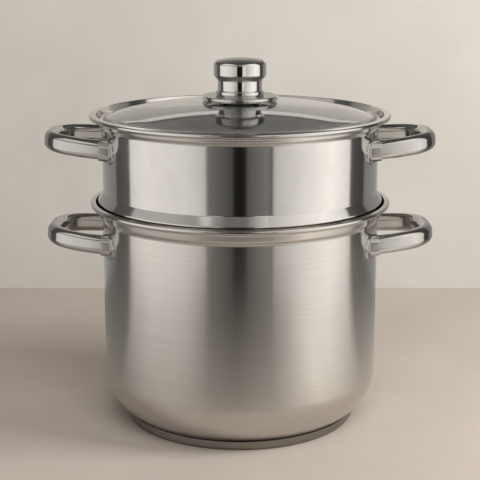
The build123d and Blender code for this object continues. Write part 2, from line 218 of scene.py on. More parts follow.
metal = {
    "ior": 2.5, "brushTurn": 0.25, "scratchRoughness": 0.08, "scratchDepth": 0.4,
    "level": (0.85, 0.97),  # how far a face looks up before it counts as level
}
satinLook = {
    "dark": (0.575, 0.55, 0.52), "light": (0.645, 0.62, 0.59), "lineTone": 0.7,
    "roughness": 0.165, "roughnessSpread": 0.012, "lineRoughness": 0.02, "levelRoughness": 0,
    "lineDensity": 2600, "wander": 0.7, "smudgeSize": 18, "scratches": 0.15,
    "bump": 0.12, "bumpDepth": 0.00003, "anisotropy": 0.82,
}
# painted shade: the base's steel colour is darkened far below steel's, standing in for the shaded floor that
# it reflects; its rougher finish is real
basePaintedShadeLook = {
    **satinLook, "dark": (0.24, 0.225, 0.2), "light": (0.31, 0.29, 0.265),
    "roughness": 0.28, "anisotropy": 0.5,
}
polishedLook = {
    "dark": (0.61, 0.59, 0.565), "light": (0.67, 0.65, 0.625), "lineTone": 0.05,
    "roughness": 0.11, "roughnessSpread": 0.02, "lineRoughness": 0.005, "levelRoughness": 0,
    "lineDensity": 900, "wander": 0.6, "smudgeSize": 30, "scratches": 0.06,
    "bump": 0.01, "bumpDepth": 0.00002, "anisotropy": 0,
}
knobLook = {
    **polishedLook, "dark": (0.64, 0.62, 0.6), "light": (0.69, 0.672, 0.65),
    "roughness": 0.07, "levelRoughness": 0.26,
}
# painted shade: the handles and their feet get polished steel with a darkened colour, standing in for the
# darker reflections along them
handlePaintedShadeLook = {**polishedLook, "dark": (0.47, 0.455, 0.435), "light": (0.54, 0.52, 0.5), "roughness": 0.09}
fastenerLook = {**polishedLook, "roughness": 0.22, "smudgeSize": 120}
aluminiumLook = {
    **satinLook, "dark": (0.66, 0.66, 0.66), "light": (0.78, 0.78, 0.78),
    "roughness": 0.35, "anisotropy": 0,
}


def dulledWhereLevel(tree, roughness, amount):  # faces that look straight up are rougher
    facing = addNode(tree, "ShaderNodeNewGeometry", -900, 560)
    split = addNode(tree, "ShaderNodeSeparateXYZ", -720, 560)
    tree.links.new(facing.outputs["Normal"], split.inputs[0])
    level = addNode(tree, "ShaderNodeMapRange", -540, 560)
    level.inputs["From Min"].default_value, level.inputs["From Max"].default_value = metal["level"]
    tree.links.new(split.outputs["Z"], level.inputs["Value"])
    extra = mathNode(tree, -360, 560, "MULTIPLY", level.outputs[0], amount)
    return mathNode(tree, -200, 60, "ADD", roughness, extra)


def steelMaterial(name, look):
    material, tree, shader = newMaterial(name)
    setInputs(shader, Metallic=1, IOR=metal["ior"])
    lines = placeGroup(tree, turnedLines, -900, 200, Density=look["lineDensity"], Wander=look["wander"])
    line = lines.outputs["Line"]
    marks = placeGroup(tree, handlingMarks, -900, -200, Size=look["smudgeSize"], Scratches=look["scratches"])
    smudge, scratch = marks.outputs

    lineTone = mathNode(tree, -760, 380, "MULTIPLY", line, look["lineTone"])
    markTone = mathNode(tree, -760, 220, "MULTIPLY", smudge, 1 - look["lineTone"])
    tone = mathNode(tree, -600, 300, "ADD", lineTone, markTone)
    color = toneNode(tree, -300, 300, tone, look["dark"], look["light"])
    tree.links.new(color, shader.inputs["Base Color"])

    lowest, highest = (look["roughness"] + sign * look["roughnessSpread"] for sign in (-1, 1))
    smudged = rangeNode(tree, -500, 0, smudge, lowest, highest)
    fromLines = mathNode(tree, -500, 140, "MULTIPLY", line, look["lineRoughness"])
    roughness = mathNode(tree, -300, 0, "ADD", smudged, fromLines)
    if look["levelRoughness"]:
        roughness = dulledWhereLevel(tree, roughness, look["levelRoughness"])
    fromScratches = mathNode(tree, -300, -140, "MULTIPLY", scratch, metal["scratchRoughness"])
    tree.links.new(mathNode(tree, -100, 0, "ADD", roughness, fromScratches), shader.inputs["Roughness"])

    cuts = mathNode(tree, -500, -300, "MULTIPLY", scratch, metal["scratchDepth"])
    relief = mathNode(tree, -300, -300, "SUBTRACT", line, cuts)
    bump = addNode(tree, "ShaderNodeBump", 0, -300)
    setInputs(bump, Strength=look["bump"], Distance=look["bumpDepth"])
    tree.links.new(relief, bump.inputs["Height"])
    tree.links.new(bump.outputs[0], shader.inputs["Normal"])
    if look["anisotropy"]:
        shader.inputs["Anisotropic"].default_value = look["anisotropy"]
        shader.inputs["Anisotropic Rotation"].default_value = metal["brushTurn"]
        tangent = addNode(tree, "ShaderNodeTangent", 100, -500, direction_type="RADIAL", axis="Z")
        tree.links.new(tangent.outputs[0], shader.inputs["Tangent"])
    return material


glassLook = {
    "color": (0.93, 0.965, 0.95), "ior": 1.5, "specular": 0.35, "shadowTint": (0.86, 0.9, 0.88),
    "smudgeSize": 14, "scratches": 0.3, "smudgeRoughness": 0.03, "scratchRoughness": 0.1,
}


def glassMaterial():
    material, tree, shader = newMaterial("lidGlass")
    shader.inputs["Base Color"].default_value = (*glassLook["color"], 1)
    shader.inputs["IOR"].default_value = glassLook["ior"]
    shader.inputs["Specular IOR Level"].default_value = glassLook["specular"]
    shader.inputs["Transmission Weight"].default_value = 1
    size, scratches = glassLook["smudgeSize"], glassLook["scratches"]
    smudge, scratch = placeGroup(tree, handlingMarks, -500, 0, Size=size, Scratches=scratches).outputs
    smudged = rangeNode(tree, -300, 0, smudge, 0, glassLook["smudgeRoughness"])
    fromScratches = mathNode(tree, -300, -200, "MULTIPLY", scratch, glassLook["scratchRoughness"])
    tree.links.new(mathNode(tree, -100, 0, "ADD", smudged, fromScratches), shader.inputs["Roughness"])
    clear = addNode(tree, "ShaderNodeBsdfTransparent", 400, -500)
    clear.inputs[0].default_value = (*glassLook["shadowTint"], 1)
    path = addNode(tree, "ShaderNodeLightPath", 400, 400)
    mixShaders(tree, path.outputs["Is Shadow Ray"], shader, clear)
    return material


siliconeLook = {
    "dark": (0.6, 0.6, 0.57), "light": (0.72, 0.72, 0.7), "roughness": (0.5, 0.7),
    "ior": 1.41, "subsurface": 0.2, "smudgeSize": 200,
}


def siliconeMaterial():
    material, tree, shader = newMaterial("silicone")
    shader.inputs["Subsurface Weight"].default_value = siliconeLook["subsurface"]
    shader.inputs["IOR"].default_value = siliconeLook["ior"]
    marks = placeGroup(tree, handlingMarks, -500, 0, Size=siliconeLook["smudgeSize"], Scratches=0)
    smudge = marks.outputs["Smudge"]
    color = toneNode(tree, -200, 200, smudge, siliconeLook["dark"], siliconeLook["light"])
    tree.links.new(color, shader.inputs["Base Color"])
    roughness = rangeNode(tree, -200, -100, smudge, *siliconeLook["roughness"])
    tree.links.new(roughness, shader.inputs["Roughness"])
    return material


materials = {
    "satin_steel": steelMaterial("satinSteel", satinLook),
    # the base's darkened colour is painted shade
    "base_steel": steelMaterial("baseSteelPaintedShade", basePaintedShadeLook),
    "polished_steel": steelMaterial("polishedSteel", polishedLook),
    "fastener_steel": steelMaterial("fastenerSteel", fastenerLook),
    "aluminium_core": steelMaterial("aluminiumCore", aluminiumLook),
    "clear_glass": glassMaterial(),
    "silicone": siliconeMaterial(),
}
knobSteel = steelMaterial("knobSteel", knobLook)
# the handles' darker steel is painted shade
handleSteelPaintedShade = steelMaterial("handleSteelPaintedShade", handlePaintedShadeLook)
slotOfNode = {part["node"]: part["material_slot"] for part in frame["record"]["subparts"]}


def finishOf(node):
    if node in ("knob_cap", "knob_neck", "knob_flange"):
        return knobSteel
    # handles and their feet take the steel darkened as painted shade
    return handleSteelPaintedShade if "_handle_" in node or "_foot_" in node else materials[slotOfNode[node]]


for name, node in nodes.items():
    node.data.materials.clear()
    node.data.materials.append(finishOf(name))
bodyOfNode = {
    name: body for body, names in frame["record"]["behaviour"]["bodies"].items() for name in names
}
print("materials assigned to", len(nodes), "pieces")


# Fine surfaces for the turned and bent pieces, each on the same sizes as the solid that it stands for

mm = 0.001
steel = 0.7  # sheet of both vessels, in millimetres like every size below
pressBend = 0.2  # inside radius of a sharp bend
liftGap = 0.3  # room round what lifts out
tiny = 1e-6
rim = {
    "ledgeWidth": 2.6, "lean": math.radians(16), "lip": 3, "crown": 0.7,
    "lipRound": 1.38, "lipEdgeRound": 0.8, "underRound": 4,
}
# softFoot and softRise: where the S-bend under the rim starts and ends, below and above the ledge
potShape = {
    "wall": 121, "floor": 5, "heel": 94.74, "heelBend": 7.98, "corner": 17.24, "cornerBend": 42,
    "ledge": 183.2, "lipTop": 196.2, "overhang": 4.71,
    "softFoot": 1.5, "softRise": 1.7, "softBends": (4, 5),
}
capShape = {"radius": 102, "top": 7.7, "sheet": 0.8, "round": 2.5, "edgeRound": 0.15}
steamerShape = {
    "wall": 120, "floor": 160, "floorRound": 6, "floorEdge": 110, "spigotGap": 1.6,
    "beadGap": 2.2, "beadLift": 1, "beadDepth": 7.8, "beadRound": 2, "creaseRound": 1.8,
    "ledge": 262.6, "lipTop": 272.2, "overhang": 6.11,
    "softFoot": 1.2, "softRise": 1.6, "softBends": (3, 3.5),
}
glassShape = {
    "thickness": 3.2, "rise": 15.3, "circle": 545, "bore": 4.5, "shoulder": 101, "flat": 118,
    "kneeBack": 3, "edgeRound": 0.4,  # kneeBack: how far inside the flat edge the shoulder's knee lies
}
ringShape = {"sheet": 0.5, "cover": 3.4, "round": 0.5, "edgeRound": 0.2}
knobShape = {
    "bore": 2.7, "sheet": 1.2, "neck": 19.4, "neckHeight": 8.3, "footInset": 0.8, "footHeight": 0.9,
    "collarReach": 1.6, "collarHeight": 3.6, "collarRound": 0.9, "land": 0.5, "reach": 3.6, "slope": 4.2,
    "height": 11.8, "fall": 2.6, "slopeRound": 2.2, "capRound": 4, "crownBend": 61.8,
    "flangeReach": 13.5, "flangeHeight": 3.6, "flangeSheet": 1, "flangeRound": 1.4, "flangeLift": 0.6,
}
cupShape = {
    "radius": 20, "height": 10.2, "sheet": 0.8, "round": 2, "lip": 0.9, "lipHeight": 1.6, "gasket": 1
}


# from a closed run of radius, height and bend, the places and the outward normals of a rounded outline
def roundedOutline(corners, degreesPerStep=6):
    places, normals = [], []
    for index, (x, y, bend) in enumerate(corners):
        corner = Vector((x, y))
        wayIn = (corner - Vector(corners[index - 1][:2])).normalized()
        wayOut = (Vector(corners[(index + 1) % len(corners)][:2]) - corner).normalized()
        turn = math.atan2(wayIn.cross(wayOut), wayIn.dot(wayOut))
        steps = max(2, math.ceil(abs(math.degrees(turn)) / degreesPerStep)) if bend else 1
        side = math.copysign(bend, turn)
        middle = corner - wayIn * (bend * math.tan(abs(turn) / 2)) + Vector((-wayIn.y, wayIn.x)) * side
        for step in range(steps + 1):
            cosine, sine = math.cos(turn * step / steps), math.sin(turn * step / steps)
            normal = Vector((wayIn.y * cosine + wayIn.x * sine, wayIn.y * sine - wayIn.x * cosine))
            places.append(middle + normal * side)
            normals.append(normal)
    return places, normals


def smoothMesh(name, points, normals, faces):
    mesh = bpy.data.meshes.new(name)
    mesh.from_pydata(points, [], faces)
    mesh.polygons.foreach_set("use_smooth", [True] * len(mesh.polygons))
    mesh.normals_split_custom_set_from_vertices(normals)
    return mesh


def standFor(name, mesh, node):
    made = bpy.data.objects.new(name, mesh)
    scene.collection.objects.link(made)
    mesh.materials.append(finishOf(node))
    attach(made, bodyOfNode[node])
    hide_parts(node)
    return made


def turnedPiece(name, node, outline, around):
    places, turnedNormals = outline
    points, normals, rings, faces = [], [], [], []
    for place, normal in zip(places, turnedNormals):
        count = around if place.x > tiny else 1
        rings.append(range(len(points), len(points) + count))
        for step in range(count):
            angle = 2 * math.pi * step / around
            points.append((place.x * mm * math.cos(angle), place.x * mm * math.sin(angle), place.y * mm))
            normals.append((normal.x * math.cos(angle), normal.x * math.sin(angle), normal.y))
    for index, low in enumerate(rings):
        after = (index + 1) % len(rings)
        high = rings[after]
        if (places[index] - places[after]).length < tiny or len(low) + len(high) == 2:
            continue
        for step in range(around):
            onward = (step + 1) % around
            low0, low1 = low[step % len(low)], low[onward % len(low)]
            high0, high1 = high[step % len(high)], high[onward % len(high)]
            face = [low0, low1, high1, high0]
            faces.append([spot for at, spot in enumerate(face) if spot != face[at - 1]])
    return standFor(name, smoothMesh(name, points, normals, faces), node)


def offsetRun(run, depth):  # the same run, moved to its left
    moved = []
    for index, (x, y, bend) in enumerate(run):
        ways = [
            (Vector(run[at + 1][:2]) - Vector(run[at][:2])).normalized()
            for at in (index - 1, index) if 0 <= at < len(run) - 1
        ]
        first, last = (Vector((-way.y, way.x)) for way in (ways[0], ways[-1]))
        shift = (first + last) * (depth / (1 + first.dot(last)))
        turn = ways[0].cross(ways[-1])
        if bend and abs(turn) > tiny:
            bend -= math.copysign(depth, turn)
        moved.append((x + shift.x, y + shift.y, bend))
    return moved


def sheetOutline(run, depth):
    return run + offsetRun(run, depth)[::-1]


def flareOutside(wall, rise):  # radius of the leaning flare, this far above the ledge's underside
    return wall + rim["ledgeWidth"] + rise * math.tan(rim["lean"])


def flareInside(wall, rise):
    return flareOutside(wall, rise) - steel / math.cos(rim["lean"])


def rimRun(shape):  # up the outside, over the lip and down the inside to the ledge
    wall, ledge, top = shape["wall"], shape["ledge"], shape["lipTop"]
    under = top - rim["crown"] - rim["lip"]
    flareTop = flareOutside(wall, under - ledge)
    lipEdge = flareTop + shape["overhang"]
    footBend, riseBend = shape["softBends"]
    return [
        (wall, ledge - shape["softFoot"], footBend),
        (flareOutside(wall, shape["softRise"]), ledge + shape["softRise"], riseBend),
        (flareTop, under, rim["underRound"]),
        (lipEdge, under, rim["lipRound"]),
        (lipEdge, under + rim["lip"], rim["lipRound"]),
        (flareInside(wall, top - ledge), top, rim["lipEdgeRound"]),
        (flareInside(wall, steel), ledge + steel, pressBend),
        (wall - steel, ledge + steel, pressBend + steel),
    ]


def vesselOutline(shape, run):  # a run up the outside, the rim, and the same run back down the inside
    inner = offsetRun(run + [(shape["wall"], shape["ledge"], 0)], steel)[:-1]
    return run + rimRun(shape) + inner[::-1]


potSeat = potShape["ledge"] + steel
steamerSeat = steamerShape["ledge"] + steel
spigot = potShape["wall"] - steel - steamerShape["spigotGap"]
shoulder = flareInside(potShape["wall"], steel) - liftGap
bead = flareInside(potShape["wall"], potShape["lipTop"] - potShape["ledge"]) - steamerShape["beadGap"]
beadHeight = potShape["lipTop"] + steamerShape["beadLift"]
ringRadius = flareInside(steamerShape["wall"], steel) - liftGap
glassEdge = ringRadius - ringShape["sheet"]
glassBottom = steamerSeat + ringShape["sheet"]
glassTop = glassBottom + glassShape["thickness"]
crown = glassTop + glassShape["rise"]
cupTop = crown - glassShape["thickness"] - cupShape["gasket"]
flangeTop = crown + knobShape["flangeLift"] + knobShape["flangeHeight"]
collarBottom = flangeTop + knobShape["footHeight"]
collarTop = collarBottom + knobShape["collarHeight"]
neckTop = collarTop + knobShape["neckHeight"]
landTop = neckTop + knobShape["land"]
gripBottom = landTop + knobShape["slope"]
gripTop = gripBottom + knobShape["height"]


def ringOutline():
    cover, top = ringRadius - ringShape["cover"], glassTop + ringShape["sheet"]
    return sheetOutline([
        (cover, steamerSeat, ringShape["edgeRound"]), (ringRadius, steamerSeat, ringShape["round"]),
        (ringRadius, top, ringShape["round"]), (cover, top, ringShape["edgeRound"]),
    ], ringShape["sheet"])


def flangeOutline():
    edge, bore = knobShape["neck"] + knobShape["flangeReach"], knobShape["bore"]
    return sheetOutline([
        (edge, flangeTop - knobShape["flangeHeight"], pressBend),
        (edge, flangeTop, knobShape["flangeRound"]), (bore, flangeTop, 0),
    ], knobShape["flangeSheet"])


def neckOutline():
    neck, bore, sheet = knobShape["neck"], knobShape["bore"], knobShape["sheet"]
    foot, collar = neck - knobShape["footInset"], neck + knobShape["collarReach"]
    floor = collarBottom + sheet
    return [
        (bore, flangeTop, 0), (foot, flangeTop, 0), (foot, collarBottom, 0),
        (collar, collarBottom, knobShape["collarRound"]), (collar, collarTop, knobShape["collarRound"]),
        (neck, collarTop, knobShape["land"]), (neck, neckTop, 0),
        (neck - sheet, neckTop, 0), (neck - sheet, floor, 0), (bore, floor, 0),
    ]


def gripOutline():
    neck, grip = knobShape["neck"], knobShape["neck"] + knobShape["reach"]
    top = gripTop + knobShape["fall"]
    return sheetOutline([
        (neck, neckTop, 0), (neck, landTop, knobShape["land"]), (grip, gripBottom, knobShape["slopeRound"]),
        (grip, gripTop, knobShape["capRound"]), (grip / 2, top, knobShape["crownBend"]), (0, top, 0),
    ], knobShape["sheet"])


def cupOutline():
    radius, bottom = cupShape["radius"], cupTop - cupShape["height"]
    return sheetOutline([
        (radius + cupShape["lip"], bottom, 0), (radius, bottom + cupShape["lipHeight"], cupShape["round"]),
        (radius, cupTop, cupShape["round"]), (knobShape["bore"], cupTop, 0),
    ], cupShape["sheet"])


outlines = {  # each a closed run of radius, height and bend
    "pot_body": vesselOutline(potShape, [
        (0, potShape["floor"], 0), (potShape["heel"], potShape["floor"], potShape["heelBend"]),
        (potShape["wall"], potShape["corner"], potShape["cornerBend"]),
    ]),
    "base_cap": sheetOutline([
        (0, 0, 0), (capShape["radius"], 0, capShape["round"]),
        (capShape["radius"], capShape["top"], capShape["edgeRound"]),
    ], capShape["sheet"]),
    "steamer_body": vesselOutline(steamerShape, [
        (steamerShape["floorEdge"], steamerShape["floor"], 0),
        (spigot, steamerShape["floor"], steamerShape["floorRound"]), (spigot, potSeat, pressBend),
        (shoulder, potSeat, pressBend + steel), (bead, beadHeight, steamerShape["beadRound"]),
        (steamerShape["wall"], beadHeight + steamerShape["beadDepth"], steamerShape["creaseRound"]),
    ]),
    "lid_ring": ringOutline(),
    "knob_flange": flangeOutline(),
    "knob_neck": neckOutline(),
    "knob_cap": gripOutline(),
    "knob_retaining_cup": cupOutline(),
}
largePieces = {"pot_body", "steamer_body", "base_cap", "lid_ring"}
stepsAround = {"large": 360, "glass": 180, "small": 144}
for node, corners in outlines.items():
    around = stepsAround["large" if node in largePieces else "small"]
    turnedPiece(node + "_turned", node, roundedOutline(corners), around)

# the glass: a low dome with a rounded shoulder, a flat edge and a bore
domeSteps = {"dome": 24, "shoulder": 12}


def domeRun(drop):  # places and normals of one face, outwards from the bore
    circle, bore, flat = glassShape["circle"], glassShape["bore"], glassShape["flat"]
    reach = glassShape["shoulder"] - bore
    radii = [bore + reach * step / domeSteps["dome"] for step in range(domeSteps["dome"] + 1)]
    normals = [Vector((radius, math.sqrt(circle**2 - radius**2))) / circle for radius in radii]
    places = [
        Vector((radius, crown - circle + normal.y * circle)) - normal * drop
        for radius, normal in zip(radii, normals)
    ]
    foot = Vector((flat, glassTop - drop))
    start, leaning = places[-1], normals[-1]
    kneeRadius = flat - glassShape["kneeBack"]
    knee = Vector((kneeRadius, start.y - (kneeRadius - start.x) * leaning.x / leaning.y))
    for step in range(1, domeSteps["shoulder"] + 1):
        share = step / domeSteps["shoulder"]
        places.append(start * (1 - share) ** 2 + knee * (2 * share * (1 - share)) + foot * share**2)
        way = (knee - start) * (1 - share) + (foot - knee) * share
        normals.append(Vector((-way.y, way.x)).normalized())
    return places, normals


def glassOutline():
    underPlaces, underNormals = domeRun(glassShape["thickness"])
    overPlaces, overNormals = domeRun(0)
    flat, bend = glassShape["flat"], glassShape["edgeRound"]
    edgePlaces, edgeNormals = roundedOutline([
        (flat, glassBottom, 0), (glassEdge, glassBottom, bend),
        (glassEdge, glassTop, bend), (flat, glassTop, 0),
    ])
    places = underPlaces + edgePlaces[1:-1] + overPlaces[::-1]
    normals = [-normal for normal in underNormals] + edgeNormals[1:-1] + overNormals[::-1]
    return places + [overPlaces[0], underPlaces[0]], normals + [Vector((-1, 0))] * 2


turnedPiece("lid_glass_turned", "lid_glass", glassOutline(), stepsAround["glass"])

# the steamer's floor: a flat plate with rings of holes
floorPlate = {"hole": 2.5, "pitch": 14.5, "rings": 7, "holesPerTurn": 6, "steps": 240, "holeSteps": 20}


def addCircle(curve, x, y, radius, count):
    ring = curve.splines.new("POLY")
    ring.points.add(count - 1)
    for index, point in enumerate(ring.points):
        angle = 2 * math.pi * index / count
        point.co = ((x + radius * math.cos(angle)) * mm, (y + radius * math.sin(angle)) * mm, 0, 1)
    ring.use_cyclic_u = True


def makeSteamerFloor():
    curve = bpy.data.curves.new("steamerFloor", "CURVE")
    curve.dimensions = "2D"
    curve.fill_mode = "BOTH"
    curve.extrude = steel * mm / 2
    addCircle(curve, 0, 0, steamerShape["floorEdge"], floorPlate["steps"])
    addCircle(curve, 0, 0, floorPlate["hole"], floorPlate["holeSteps"])
    for ring in range(1, floorPlate["rings"] + 1):
        count = floorPlate["holesPerTurn"] * ring
        for index in range(count):
            angle = 2 * math.pi * index / count
            x, y = (floorPlate["pitch"] * ring * turned for turned in (math.cos(angle), math.sin(angle)))
            addCircle(curve, x, y, floorPlate["hole"], floorPlate["holeSteps"])
    draft = bpy.data.objects.new("steamerFloorDraft", curve)
    scene.collection.objects.link(draft)
    mesh = bpy.data.meshes.new_from_object(draft.evaluated_get(bpy.context.evaluated_depsgraph_get()))
    bpy.data.objects.remove(draft)
    for vertex in mesh.vertices:
        vertex.co.z += (steamerShape["floor"] + steel / 2) * mm
    mesh.materials.clear()
    return standFor("steamer_floor_plate", mesh, "steamer_body")


makeSteamerFloor()

# loop handles: a rounded tube along two long curves, two bends and a short straight
loop = {
    "standOff": 42.5, "spread": 44, "armRadius": 80, "bendRadius": 32, "straight": 14, "collar": 5.6,
    "cover": 2, "tilt": math.radians(5), "width": 12.5, "height": 16.4, "corner": 6.15,
    "armSteps": 16, "bendSteps": 20, "degreesPerStep": 8,
}
loopDrops = {"pot": 19.8, "steamer": 17.2}  # from each ledge down to the middle of the tube
loopHeights = {
    "pot": potShape["ledge"] - loopDrops["pot"],
    "steamer": steamerShape["ledge"] - loopDrops["steamer"],
}


def arcRun(middle, radius, start, stop, steps):
    run = []
    for step in range(steps + 1):
        angle = start + (stop - start) * step / steps
        outward = Vector((math.cos(angle), math.sin(angle)))
        run.append((middle + outward * radius, Vector((-outward.y, outward.x))))
    return run


def loopRun():  # places and directions along the middle line, from the front foot to the rear one
    reach = potShape["wall"] + loop["standOff"]
    foot = Vector((math.sqrt(potShape["wall"] ** 2 - loop["spread"] ** 2), -loop["spread"]))
    bend = Vector((reach - loop["bendRadius"], -loop["straight"] / 2))
    span, rest = bend - foot, loop["armRadius"] - loop["bendRadius"]
    far = math.hypot(loop["armRadius"], loop["collar"])
    opening = math.acos((far**2 + span.length**2 - rest**2) / (2 * far * span.length))
    lead = math.atan2(span.y, span.x) + opening
    arm = foot + Vector((math.cos(lead), math.sin(lead))) * far
    angle = lead - math.atan2(loop["armRadius"], loop["collar"])
    way = Vector((math.cos(angle), math.sin(angle)))
    leave, join = foot + way * loop["collar"] - arm, bend - arm
    turn = math.atan2(join.y, join.x)
    half = [(foot + way * loop["cover"], way)]
    half += arcRun(arm, loop["armRadius"], math.atan2(leave.y, leave.x), turn, loop["armSteps"])
    half += arcRun(bend, loop["bendRadius"], turn, 0, loop["bendSteps"])[1:]
    back = [(Vector((place.x, -place.y)), Vector((-ahead.x, ahead.y))) for place, ahead in reversed(half)]
    return foot, half + back


def bentHandle(name, node, height, side):
    wide, tall, corner, tilt = loop["width"] / 2, loop["height"] / 2, loop["corner"], loop["tilt"]
    section, sectionNormals = roundedOutline([
        (-wide, -tall, corner), (wide, -tall, corner), (wide, tall, corner), (-wide, tall, corner),
    ], loop["degreesPerStep"])
    out, up = Vector((math.cos(tilt), 0, math.sin(tilt))), Vector((-math.sin(tilt), 0, math.cos(tilt)))
    foot, run = loopRun()
    origin = Vector((0, 0, height - foot.x * math.tan(tilt)))
    points, normals, faces = [], [], []
    for place, ahead in run:
        across = out * ahead.y - Vector((0, 1, 0)) * ahead.x
        middle = origin + out * place.x + Vector((0, place.y, 0))
        for spot, normal in zip(section, sectionNormals):
            point = (middle + across * spot.x + up * spot.y) * mm
            facing = across * normal.x + up * normal.y
            points.append((side * point.x, side * point.y, point.z))
            normals.append((side * facing.x, side * facing.y, facing.z))
    count = len(section)
    for first in range(0, len(points) - count, count):
        for index in range(count):
            onward = (index + 1) % count
            faces.append((first + index, first + count + index, first + count + onward, first + onward))
    faces.append(tuple(range(count)))
    faces.append(tuple(range(len(points) - 1, len(points) - count - 1, -1)))
    return standFor(name, smoothMesh(name, points, normals, faces), node)


for vessel, height in loopHeights.items():
    for side, sign in (("right", 1), ("left", -1)):
        bentHandle(f"{vessel}_handle_{side}_bent", f"{vessel}_handle_{side}", height, sign)
print("turned and bent pieces made")


# Studio: a pale floor and wall, two soft boxes, and cards that only reflections see

room = {
    "floor": (0.4, 0.35, 0.305), "wall": (0.55, 0.518, 0.474), "sky": (0.32, 0.31, 0.3),
    "reach": 3, "wallDistance": 0.404, "wallTop": 2.5,
}
plasterLook = {
    "dark": 0.93, "light": 1.05, "cloudSize": 6, "grainSize": 120,
    "roughness": 0.75, "bump": 0.15, "bumpDepth": 0.001,
}


def plasterMaterial(name, color, seenFromBehind):
    material, tree, shader = newMaterial(name)
    place = addNode(tree, "ShaderNodeTexCoord", -1000, 0)
    cloud = addNode(tree, "ShaderNodeTexNoise", -800, 100)
    setInputs(cloud, Scale=plasterLook["cloudSize"], Detail=8, Roughness=0.6)
    grain = addNode(tree, "ShaderNodeTexNoise", -800, -200)
    setInputs(grain, Scale=plasterLook["grainSize"], Detail=4)
    for noise in (cloud, grain):
        tree.links.new(place.outputs["Object"], noise.inputs["Vector"])
    dark, light = ([part * plasterLook[tone] for part in color] for tone in ("dark", "light"))
    tone = toneNode(tree, -500, 100, cloud.outputs["Fac"], dark, light)
    tree.links.new(tone, shader.inputs["Base Color"])
    shader.inputs["Roughness"].default_value = plasterLook["roughness"]
    bump = addNode(tree, "ShaderNodeBump", 0, -300)
    setInputs(bump, Strength=plasterLook["bump"], Distance=plasterLook["bumpDepth"])
    tree.links.new(grain.outputs["Fac"], bump.inputs["Height"])
    tree.links.new(bump.outputs[0], shader.inputs["Normal"])
    if not seenFromBehind:
        clear = addNode(tree, "ShaderNodeBsdfTransparent", 400, -500)
        side = addNode(tree, "ShaderNodeNewGeometry", 400, 400)
        mixShaders(tree, side.outputs["Backfacing"], shader, clear)
    return material


sheetCorners = ((0, 0), (1, 0), (1, 1), (0, 1))


# faceCorners says where on the sheet's brightness each corner of each face lies
def stageObject(name, points, faces, faceCorners, material):
    mesh = bpy.data.meshes.new(name)
    mesh.from_pydata(points, [], faces)
    layer = mesh.uv_layers.new(name="UVMap")
    for spot, corner in zip(layer.data, faceCorners):
        spot.uv = corner
    mesh.materials.append(material)
    made = bpy.data.objects.new(name, mesh)
    scene.collection.objects.link(made)
    return made


def sheetObject(name, corners, material):
    return stageObject(name, corners, [tuple(range(len(corners)))], sheetCorners, material)


# a sheet that faces right, seen on the way from start to end
def standingSheet(name, start, end, bottom, top, material):
    return sheetObject(name, [(*start, bottom), (*end, bottom), (*end, top), (*start, top)], material)


reach, wall = room["reach"], room["wallDistance"]
floorPlaster = plasterMaterial("floorPlaster", room["floor"], True)
wallPlaster = plasterMaterial("wallPlaster", room["wall"], False)
floorCorners = [(-reach, -reach, 0), (reach, -reach, 0), (reach, reach, 0), (-reach, reach, 0)]
sheetObject("floor", floorCorners, floorPlaster)
standingSheet("wall", (-reach, wall), (reach, wall), 0, room["wallTop"], wallPlaster)


def glowMaterial(name, stops):  # brightness runs along the sheet's width
    material = bpy.data.materials.new(name)
    material.use_nodes = True
    tree = material.node_tree
    tree.nodes.remove(tree.nodes["Principled BSDF"])
    place = addNode(tree, "ShaderNodeTexCoord", -700, 0)
    split = addNode(tree, "ShaderNodeSeparateXYZ", -500, 0)
    tree.links.new(place.outputs["UV"], split.inputs[0])
    color = rampNode(tree, -300, 0, split.outputs["X"], stops)
    glow = addNode(tree, "ShaderNodeEmission", 0, 0)
    tree.links.new(color, glow.inputs["Color"])
    glow.inputs["Strength"].default_value = 1
    tree.links.new(glow.outputs[0], tree.nodes["Material Output"].inputs["Surface"])
    return material


def greyStops(levels, warmth=1):  # each level as a slightly warm grey
    green, blue = 0.97**warmth, 0.93**warmth
    return [(place, (level, level * green, level * blue)) for place, level in levels]


